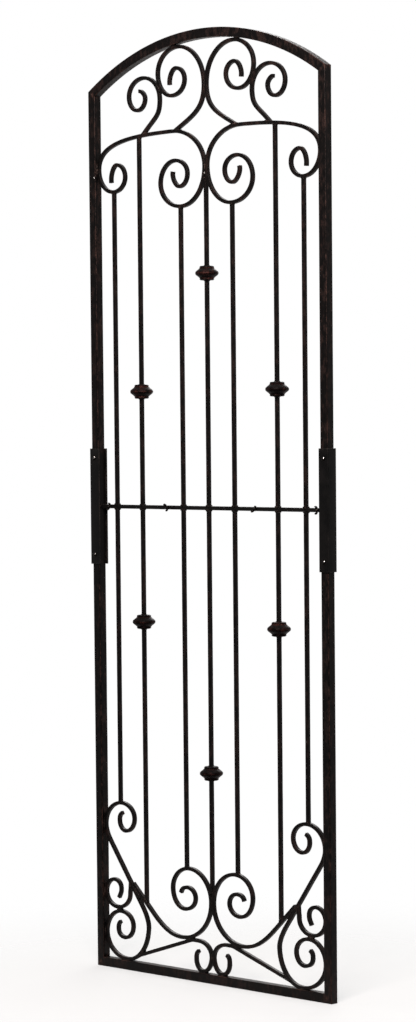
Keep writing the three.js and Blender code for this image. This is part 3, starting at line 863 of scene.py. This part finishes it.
def add_wing_nut(name, body):
    """A turned boss with two rounded ears, at the angle that its CAD node has."""
    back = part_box(name)[1].y
    screw_low, screw_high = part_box(name.replace("wing_nut", "strip_screw"))
    centre = (screw_low + screw_high) / 2
    flat = node_points(name)[:, [0, 2]] - [centre.x, centre.z]
    reaches = np.linalg.norm(flat, axis=1)
    far = flat[np.argmax(reaches)]
    boss = np.array(WING_BOSS)
    turned = lathe(boss[:, :2] * MM, WING_BOSS_SIDES)
    vertices = [np.stack([turned[:, 0], -turned[:, 2], turned[:, 1]], axis=1)]
    faces = ring_faces(len(boss), WING_BOSS_SIDES, closed=True)
    wear = [np.repeat(boss[:, 2], WING_BOSS_SIDES)]
    spine = smooth_profile(np.array(WING_SPINE) * MM, 4)
    widths = np.interp(np.linspace(0, 1, len(spine)), [0, 0.25, 0.6, 0.85, 1], [2.3, 2.3, 2.2, 2.1, 1.8]) * MM
    beyond, width_left, thickness_left = np.array(WING_TIP).T
    section, _ = rounded_section(1.0, 1.0, 0.55, 3)
    for side in (-1, 1):
        line = np.stack([side * spine[:, 0], -spine[:, 1], 0 * spine[:, 0]], axis=1)
        ahead = directions(line)
        across = np.stack([-ahead[:, 1], ahead[:, 0], 0 * ahead[:, 0]], axis=1) * widths[:, None]
        thick = np.full(len(line), WING_THICKNESS)
        line = np.vstack([line, line[-1] + ahead[-1] * beyond[:, None] * MM])
        across = np.vstack([across, across[-1] * width_left[:, None]])
        thick = np.concatenate([thick, WING_THICKNESS * thickness_left])
        ear = line[:, None] + section_offsets(section, across, thick[:, None] * UP)
        start = sum(len(part) for part in vertices)
        faces += [tuple(start + i for i in face) for face in ring_faces(len(line), len(section))]
        vertices.append(ear.reshape(-1, 3))
        wear.append(np.repeat(np.linspace(0.0, 1.0, len(line)) ** 2, len(section)) * 0.3)
    vertices = np.concatenate(vertices)
    stretch = reaches.max() / np.abs(vertices[:, 0]).max()
    vertices[:, 0] *= np.where(np.abs(vertices[:, 0]) > 4 * MM, stretch, 1)
    vertices = vertices @ np.array(Matrix.Rotation(-math.atan2(far[1], far[0]), 3, "Y")).T
    vertices += [centre.x, back, centre.z]
    add_piece(name, vertices, faces, STEEL, np.concatenate(wear), body=body)


# Welds

class WeldBeads:
    """Rippled beads of weld metal, gathered into one piece."""

    def __init__(self, name, finish=WELD_BRONZE, wear=0.5):
        self.name = name
        self.finish = finish
        self.wear = wear
        self.vertices = []
        self.faces = []
        self.count = 0

    def bead(self, line, radius, closed=False):
        """A bead along a line, which is swollen in ripples and narrows to its ends."""
        line = np.array(line, float)
        around = [line[-1:], line, line[:1]] if closed else [line[:1], line, line[-1:]]
        around = np.vstack(around)
        ahead = unit(around[2:] - around[:-2])
        *along, total = distance_along(around[1:])
        along = np.array(along)
        helper = np.tile(DEPTH, (len(line), 1))
        helper[np.abs(ahead[:, 1]) > 0.8] = ALONG
        first = unit(np.cross(ahead, helper))
        second = np.cross(ahead, first)
        ripples = max(3, int(round(total / WELD_RIPPLE)))
        swell = 1 + 0.12 * np.abs(np.sin(math.pi * ripples * along / total))
        lumps = np.array([1 + 0.22 * noise.noise(Vector(p) / (4 * MM)) for p in line])
        size = radius * swell * lumps
        if not closed:
            size *= np.sqrt(np.clip(1 - (2 * along / total - 1) ** 2, 0.02, 1))
        angles = np.arange(BEAD_SIDES) * 2 * math.pi / BEAD_SIDES
        ring = section_offsets(np.stack([np.cos(angles), np.sin(angles)], axis=1), first, second)
        self.vertices.append((line[:, None] + ring * size[:, None, None]).reshape(-1, 3))
        faces = ring_faces(len(line), BEAD_SIDES, closed)
        self.faces += [tuple(self.count + i for i in face) for face in faces]
        self.count += len(line) * BEAD_SIDES
        weld_places.append(line.mean(axis=0))

    def seam(self, start, end, depth, radius):
        """A straight bead between two places in X and Z, at one depth."""
        self.bead(line_between((start[0], depth, start[1]), (end[0], depth, end[1])), radius)

    def seam_through(self, place, reach, radius):
        """A straight bead from front to back, at one place in X and Z."""
        self.bead(line_between((place[0], -reach, place[1]), (place[0], reach, place[1])), radius)

    def seams_beside(self, place, heading, length, depth, radius):
        """A seam that way through a place on the front, and another on the back."""
        half = heading * length / 2
        for front in (-1, 1):
            self.seam(place - half, place + half, front * depth, radius)

    def build(self):
        vertices = np.concatenate(self.vertices)
        wear = np.array([self.wear + 0.5 * noise.noise(Vector(v) / (3 * MM)) for v in vertices])
        add_piece(self.name, vertices, self.faces, self.finish, wear)


def weld_round_end(beads, x, z, slope, radius=1.45 * MM):
    """Runs a bead round the end of an upright bar. The slope is that of what it meets."""
    reach = BAR / 2 + 0.1 * MM
    outline, _ = rounded_section(reach, reach, 1.2 * MM)
    outline = np.vstack([outline, outline[:1]])
    along = distance_along(outline)
    stations = np.linspace(0, along[-1], 45)[:-1]
    right, back = (np.interp(stations, along, outline[:, axis]) for axis in (0, 1))
    beads.bead(np.stack([x + right, back, z + slope * right], axis=1), radius, closed=True)


def runs_of(flags, join=4):
    """(first, last) of each run of true flags, joined over short breaks."""
    where = np.flatnonzero(flags)
    if len(where) == 0:
        return []
    breaks = np.flatnonzero(np.diff(where) > join)
    firsts = np.concatenate([[where[0]], where[breaks + 1]])
    lasts = np.concatenate([where[breaks], [where[-1]]])
    return list(zip(firsts, lasts))


def weld_scrolls(beads_for, paths):
    """Fills the groove between two scrolls wherever they touch, on the front and on the back."""
    names = list(paths)
    for index, first in enumerate(names):
        path = paths[first]
        heading = directions(path)
        for second in names[index + 1:]:
            other = paths[second]
            gaps = np.linalg.norm(path[:, None] - other[None], axis=2)
            nearest = gaps.min(axis=1)
            for start, end in runs_of(nearest < WELD_REACH):
                i = start + int(np.argmin(nearest[start:end + 1]))
                j = int(np.argmin(gaps[i]))
                if i in (0, len(path) - 1) or j in (0, len(other) - 1):
                    i = (start + end) // 2
                    j = int(np.argmin(gaps[i]))
                place = (path[i] + other[j]) / 2
                length = min(26 * MM, 9 * MM + 1.2 * SCROLL_STEP * (end - start))
                depth = BAR / 2 - 0.5 * MM
                beads_for(place[1]).seams_beside(place, heading[i], length, depth, 1.5 * MM)


def weld_scrolls_to_frame(beads_for, paths):
    """Runs a fillet along each scroll where it lies against a stile or the bottom rail."""
    limit = BAR / 2 + 1.0 * MM
    for name, path in paths.items():
        side = SIDES[name.split("_")[0]]
        heading = directions(path)
        from_centre = np.hypot(path[:, 0], path[:, 1] - ARCH_CENTRE)
        to_arch = np.where(path[:, 1] > ARCH_CENTRE, ARCH_RADIUS - TUBE - from_centre, HALF_WIDTH)
        for gap, inward in ((STILE_INNER - side * path[:, 0], (side, 0)), (path[:, 1] - TUBE, (0, -1))):
            for start, end in runs_of(gap < limit):
                i = start + int(np.argmin(gap[start:end + 1]))
                place = path[i] + np.array(inward) * (BAR / 2 - TUBE_GROWTH)
                beads = beads_for(path[i, 1])
                beads.seams_beside(place, heading[i], 24 * MM, BAR_HALF + 0.25 * MM, 1.55 * MM)
        for start, end in runs_of(to_arch < 8.5 * MM):
            i = start + int(np.argmin(to_arch[start:end + 1]))
            weld_crown_to_arch(beads_for(path[i, 1]), path[i])


def weld_crown_to_arch(beads, point):
    """The crown scroll's top stands a little below the arch, and a lump of weld fills the gap."""
    from_centre = point - np.array([0, ARCH_CENTRE])
    outward = unit(from_centre)
    along = np.array([outward[1], -outward[0]]) * 6.5 * MM
    gap = ARCH_RADIUS - TUBE - np.linalg.norm(from_centre) - BAR / 2
    middle = point + outward * (BAR / 2 + gap / 2)
    for depth in np.array([-2.4, -0.8, 0.8, 2.4]) * MM:
        beads.seam(middle - along, middle + along, depth, gap / 2 + 1.1 * MM)


def weld_feet(beads_for, feet):
    """Fills the seam at each foot, front and back, and the corner on each side of it."""
    for _, _, _, (first, second) in feet:
        beads = beads_for(first[1])
        inward = unit(second - first) * MM
        for front in (-1, 1):
            beads.seam(first - inward, second + inward, front * (BAR / 2 - 0.45 * MM), 1.5 * MM)
        for place in (first + inward * 0.3, second - inward * 0.3):
            beads.seam_through(place, 3.2 * MM, 1.9 * MM)


def weld_beside_tip(beads, path, other):
    """Fills the narrow space between a base scroll's tip and the bar beside it, from front to back."""
    path = tip_first(path)
    spans = np.linspace(0, len(other) - 1, 10 * len(other))
    fine = np.stack([np.interp(spans, np.arange(len(other)), other[:, axis]) for axis in (0, 1)], axis=1)
    gaps = np.linalg.norm(path[:, None] - fine[None], axis=2)
    space = gaps.min(axis=1) - BAR
    count = int(np.argmax(space > WELD_FILL))
    middle = (path[:count] + fine[gaps.argmin(axis=1)[:count]]) / 2
    radius = np.clip(space[:count], 0, None) / 2 + 0.9 * MM
    spans = np.linspace(0, count - 1, 3 * count)
    coarse = (middle[:, 0], middle[:, 1], radius)
    x, z, radius = (np.interp(spans, np.arange(count), values) for values in coarse)
    for depth in np.array([-2.7, -1.35, 0.0, 1.35, 2.7]) * MM:
        beads.bead(np.stack([x, np.full(len(x), depth), z], axis=1), radius)


def weld_bars(beads_for, paths):
    """Welds both ends of each bar, and gives the length of its far end that goes into a scroll."""
    buried = {}
    for half, direction in HALVES.items():
        for number in BAR_NUMBERS:
            low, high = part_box(f"{half}_bar_{number}")
            x = (low.x + high.x) / 2
            root, end = (low.z, high.z) if direction > 0 else (high.z, low.z)
            weld_round_end(beads_for(root), x, root, 0.0, 2.6 * MM)
            tip = np.array([x, end + direction * BAR / 2])
            path = min(paths.values(), key=lambda path: np.linalg.norm(path - tip, axis=1).min())
            i = int(np.argmin(np.linalg.norm(path - tip, axis=1)))
            heading = directions(path)[i]
            slope = 0.0 if abs(heading[0]) < 0.35 else heading[1] / heading[0]
            slope = float(np.clip(slope, -1.2, 1.2))
            buried[f"{half}_bar_{number}"] = abs(slope) * BAR / 2 + 0.4 * MM
            weld_round_end(beads_for(end), x, end + direction * (0.1 * MM + abs(slope) * BAR / 2), slope)
    return buried


def weld_mitres(beads_for):
    """Low, dressed beads along the four mitres: across the faces, and over each corner."""
    arch_inner_end = end_height(node_points("arch_rail"), STILE_INNER, False)
    reach = TUBE / 2 - 2.2 * MM
    for outer_height, inner_height in ((ARCH_END, arch_inner_end), (0.0, TUBE)):
        beads = beads_for(outer_height)
        for side in SIDES.values():
            outer = np.array([side * HALF_WIDTH, outer_height])
            inner = np.array([side * STILE_INNER, inner_height])
            inset = unit(inner - outer) * MM
            for front in (-1, 1):
                depth = front * (TUBE / 2 - 0.62 * MM)
                beads.seam(outer + inset * 1.6, inner - inset * 1.2, depth, 1.05 * MM)
            beads.seam_through(outer + inset * 1.7, reach, 0.95 * MM)
            beads.seam_through(inner - inset * 0.2, reach, 1.5 * MM)


def weld_strips(beads_for):
    for half in HALVES:
        low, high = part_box(f"{half}_cross_strip")
        depth = low.y if half == "upper" else high.y
        for x in (low.x, high.x):
            beads_for(low.z).seam((x, low.z + 0.8 * MM), (x, high.z - 0.8 * MM), depth, 1.4 * MM)


def tack_collars(beads_for):
    """One small tack holds each collar to its bar, on the back."""
    for half in HALVES:
        for number in COLLARED_BARS:
            low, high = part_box(f"{half}_collar_{number}")
            x = (low.x + high.x) / 2
            z = high.z + 0.1 * MM
            beads_for(high.z).seam((x - 3 * MM, z), (x + 3 * MM, z), BAR / 2 + 0.9 * MM, 1.3 * MM)


def painted_weld_glints(shoulder):
    """Painted highlights: small bright metal spots that stand in for glints on the weld, in front of the
    stile and where two scrolls meet.
    """
    spots = WeldBeads("bare_weld_spots", STEEL, 1.0)
    reach = 2.4 * MM
    outer = shoulder[np.argmin(shoulder[:, 0])] + np.array([-5.5, -17]) * MM
    inner = shoulder[np.argmax(shoulder[:, 0])] + np.array([3.6, -14]) * MM
    for place, lean, depth in ((outer, 0.5, TUBE / 2 - 0.1 * MM), (inner, 0.2, BAR_HALF + 0.8 * MM)):
        half = np.array([lean, -1]) * reach
        spots.seam(place - half, place + half, -depth, 1.0 * MM)
    spots.build()


# The whole gate

def build_gate():
    paths = {}
    stations = {}
    for word in SIDES:
        for name in SCROLL_NAMES:
            full = f"{word}_{name}"
            paths[full], stations[full] = smooth_path(ribbon_centre_line(full), SCROLL_STEP)
    for word in SIDES:
        name = f"{word}_base_scroll"
        paths[name] = leaned(paths[name], paths[f"{word}_corner_scroll"])

    welds = {half: WeldBeads(f"{half}_welds") for half in HALVES}
    split = (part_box("upper_cross_strip")[0].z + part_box("upper_cross_strip")[1].z) / 2

    def beads_for(height):
        return welds["upper" if height > split else "lower"]

    feet = find_feet(paths)
    weld_scrolls(beads_for, paths)
    weld_scrolls_to_frame(beads_for, paths)
    weld_feet(beads_for, feet)
    for word in SIDES:
        weld_beside_tip(welds["lower"], paths[f"{word}_base_scroll"], paths[f"{word}_corner_scroll"])
    buried = weld_bars(beads_for, paths)
    weld_mitres(beads_for)
    weld_strips(beads_for)
    tack_collars(beads_for)

    for name, at_start, travel, _ in feet:
        paths[name], stations[name] = with_foot(paths[name], stations[name], at_start, travel)
    for word in SIDES:
        # This tip lies along the corner scroll's straight part and runs into it
        name = f"{word}_base_scroll"
        at_start = tip_first(paths[name]) is paths[name]
        paths[name], stations[name] = with_foot(paths[name], stations[name], at_start, BASE_TIP_REACH)
    for name, path in paths.items():
        add_scroll(name, path, stations[name])
    for half in HALVES:
        for number in BAR_NUMBERS:
            name = f"{half}_bar_{number}"
            add_bar(name, buried[name])
        for number in COLLARED_BARS:
            add_collar(f"{half}_collar_{number}")
        for word, side in SIDES.items():
            add_stile(f"{half}_{word}_stile", side)
            add_fastener(f"{word}_{half}_splice_bolt", True, 2.5 * MM, 0.8 * MM)
            add_hex_nut(f"{word}_{half}_splice_nut")
        add_strip(f"{half}_cross_strip")
    add_arch()
    add_bottom_rail()
    for word, side in SIDES.items():
        add_channel(f"{word}_splice_channel", side, LIP_SHIFTS[word])
    for number in SCREW_NUMBERS:
        add_fastener(f"strip_screw_{number}", False, 2 * MM, 0.7 * MM)
        add_wing_nut(f"wing_nut_{number}", f"turning_nut_{number}")
    for beads in welds.values():
        beads.build()
    painted_weld_glints(paths["left_shoulder_scroll"])


# Studio

def add_floor():
    """A pale round floor that fades into the white surroundings."""
    bpy.ops.mesh.primitive_circle_add(vertices=96, radius=9, fill_type="NGON", location=(0, 0, -0.2 * MM))
    floor = bpy.context.object
    floor.name = "studio_floor"
    shader = Shader("studio_floor", 0.9, 0.0, 0.0)
    shader.surface.inputs["Base Color"].default_value = (0.94, 0.94, 0.93, 1)
    length = shader.add("VectorMath", operation="LENGTH")
    shader.put(shader.place, length.inputs[0])
    fade = shader.ramp(length.outputs["Value"], 0.2, 1.3, 0.55, 1.0)
    clear = shader.add("BsdfTransparent").outputs["BSDF"]
    shader.blend_shaders(fade, shader.surface.outputs["BSDF"], clear, "Material Output")
    floor.data.materials.append(shader.material)


def aim(source, target):
    return (Vector(target) - Vector(source)).to_track_quat("-Z", "Y").to_euler()


def add_light(name, place, target, size, power, color=(1.0, 1.0, 1.0)):
    data = bpy.data.lights.new(name, "AREA")
    data.shape = "SQUARE"
    data.size = size
    data.energy = power
    data.color = color
    lamp = bpy.data.objects.new(name, data)
    lamp.location = place
    lamp.rotation_euler = aim(place, target)
    lamp.visible_camera = False
    bpy.context.scene.collection.objects.link(lamp)


def add_studio():
    """White to the camera. As light, bright behind the gate, dimmer above, and dim before its front."""
    world = bpy.data.worlds.new("studio")
    bpy.context.scene.world = world
    world.use_nodes = True
    tree = Nodes(world.node_tree)
    seen = tree.nodes["Background"]
    seen.inputs["Color"].default_value = (1, 1, 1, 1)
    seen.inputs["Strength"].default_value = 1.0
    lit = tree.add("Background")
    lit.inputs["Color"].default_value = (1.0, 0.98, 0.97, 1)
    heading = tree.add("TexCoord").outputs["Generated"]
    facing = tree.add("VectorMath", operation="DOT_PRODUCT")
    tree.put(heading, facing.inputs[0])
    tree.put(Vector((-0.62, 0.75, 0.25)).normalized(), facing.inputs[1])
    axes = tree.add("SeparateXYZ")
    tree.put(heading, axes.inputs["Vector"])
    behind = tree.ramp(facing.outputs["Value"], -0.35, 0.85, 0.06, 0.85)
    above = tree.ramp(axes.outputs["Z"], -0.06, 0.14, 1.0, 0.65)
    tree.put(tree.math("MULTIPLY", behind, above), lit.inputs["Strength"])
    from_camera = tree.add("LightPath").outputs["Is Camera Ray"]
    tree.blend_shaders(from_camera, lit.outputs["Background"], seen.outputs["Background"], "World Output")
    add_light("overhead", (0, 0.3, 4.6), (0, 0, 0), 4.0, 40)
    add_light("key", (1.2, -1.6, 2.75), (0.3, 0, 1.75), 0.9, 72, (1.0, 0.90, 0.88))
    add_light("side", (4.2, 0.6, 2.8), (0, 0, 1.3), 1.4, 14)
    add_light("rim", (-2.2, 3.4, 3.0), (0, 0, 1.2), 2.2, 60)


def add_camera():
    yaw, pitch, roll = (math.radians(a) for a in (-45.37, -3.345, -0.525))
    forward = Vector((math.sin(yaw) * math.cos(pitch), math.cos(yaw) * math.cos(pitch), math.sin(pitch)))
    level_right = forward.cross(Vector((0, 0, 1))).normalized()
    level_up = level_right.cross(forward)
    right = math.cos(roll) * level_right + math.sin(roll) * level_up
    up = -math.sin(roll) * level_right + math.cos(roll) * level_up
    data = bpy.data.cameras.new("camera")
    data.lens = 111.74
    data.shift_y = 0.0943
    data.clip_end = 60
    camera = bpy.data.objects.new("camera", data)
    turn = Matrix((right, up, -forward)).transposed().to_4x4()
    camera.matrix_world = Matrix.Translation((4.8013, -4.7455, 1.2031)) @ turn
    bpy.context.scene.collection.objects.link(camera)
    bpy.context.scene.camera = camera


build_gate()
add_floor()
add_studio()
add_camera()
bpy.context.scene.view_settings.view_transform = "Standard"
